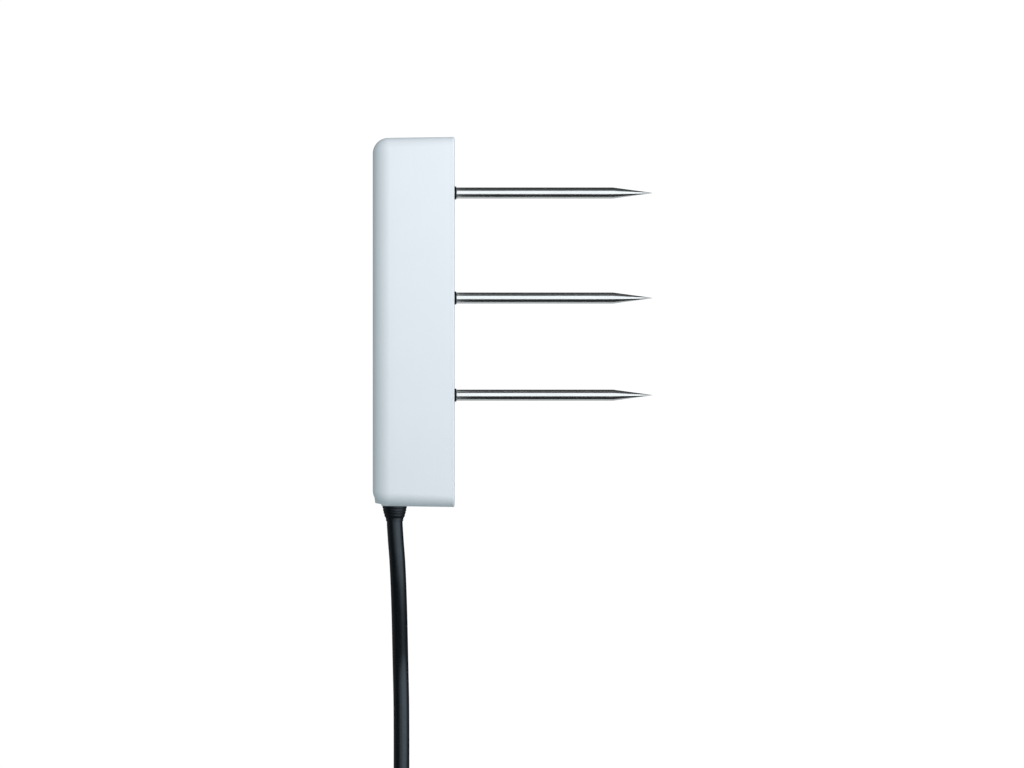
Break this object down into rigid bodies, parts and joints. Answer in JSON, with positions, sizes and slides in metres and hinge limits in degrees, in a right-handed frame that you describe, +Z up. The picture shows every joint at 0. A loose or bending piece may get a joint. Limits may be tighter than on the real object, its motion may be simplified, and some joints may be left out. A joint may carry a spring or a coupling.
{
  "type": "soil moisture sensor",
  "caption": "Soil moisture sensor: a white rounded housing with a row of pointed steel needles on one face and a black cable from one end, coiled and ending in a small round plug.",
  "frame": {"origin": "centre of the box around the housing and its needles, on the surface that the sensor lies on, without the cable and its strain relief", "axes": "+X the way the needles point, +Y along the housing away from the cable exit, +Z up from the side face that the sensor lies on"},
  "size_m": [0.0944, 0.248, 0.0249],
  "materials": {
    "housing_plastic": "fine moulded satin, cool white",
    "potting_resin": "cast, smooth",
    "needle_steel": "ground and polished, bright",
    "seal_rubber": "satin",
    "collar_brass": "turned",
    "fastener_steel": "plain",
    "board_laminate": "solder mask, satin",
    "chip_resin": "moulded, matte",
    "ferrite": "fired, matte",
    "capacitor_can": "drawn",
    "capacitor_ceramic": "fired, matte",
    "solder": "reflowed, bright",
    "wire_white": "extruded",
    "wire_orange": "extruded",
    "wire_grey": "extruded",
    "cable_jacket": "extruded, soft sheen",
    "relief_rubber": "moulded, satin",
    "tie_nylon": "moulded nylon",
    "plug_plastic": "moulded, satin",
    "plug_contact": "plated and polished"
  },
  "bodies": {
    "root": {"housing_shell": "housing_plastic", "needle_plate": "housing_plastic", "potting": "potting_resin", "needle_upper": "needle_steel", "needle_middle": "needle_steel", "needle_lower": "needle_steel", "needle_seal_upper": "seal_rubber", "needle_seal_middle": "seal_rubber", "needle_seal_lower": "seal_rubber", "needle_collars": "collar_brass", "needle_washers": "fastener_steel", "needle_nuts": "fastener_steel", "circuit_board": "board_laminate", "microcontroller": "chip_resin", "crystal": "fastener_steel", "oscillator_chip": "chip_resin", "voltage_regulator": "chip_resin", "inductor": "ferrite", "bulk_capacitor": "capacitor_can", "ceramic_capacitors": "capacitor_ceramic", "resistors": "chip_resin", "surge_diode": "chip_resin", "thermistor": "capacitor_ceramic", "solder_joints": "solder", "conductor_power": "wire_white", "conductor_data": "wire_orange", "conductor_ground": "wire_grey", "cable_jacket_end": "cable_jacket", "cable_crimp_ring": "collar_brass", "strain_relief": "relief_rubber", "cable_lead": "cable_jacket", "cable_coil": "cable_jacket", "cable_tail": "cable_jacket", "coil_ties": "tie_nylon", "plug_boot": "relief_rubber", "plug_body": "plug_plastic", "plug_sleeve": "plug_contact", "plug_ring": "plug_contact", "plug_tip": "plug_contact", "plug_insulators": "plug_plastic"}
  },
  "joints": []
}
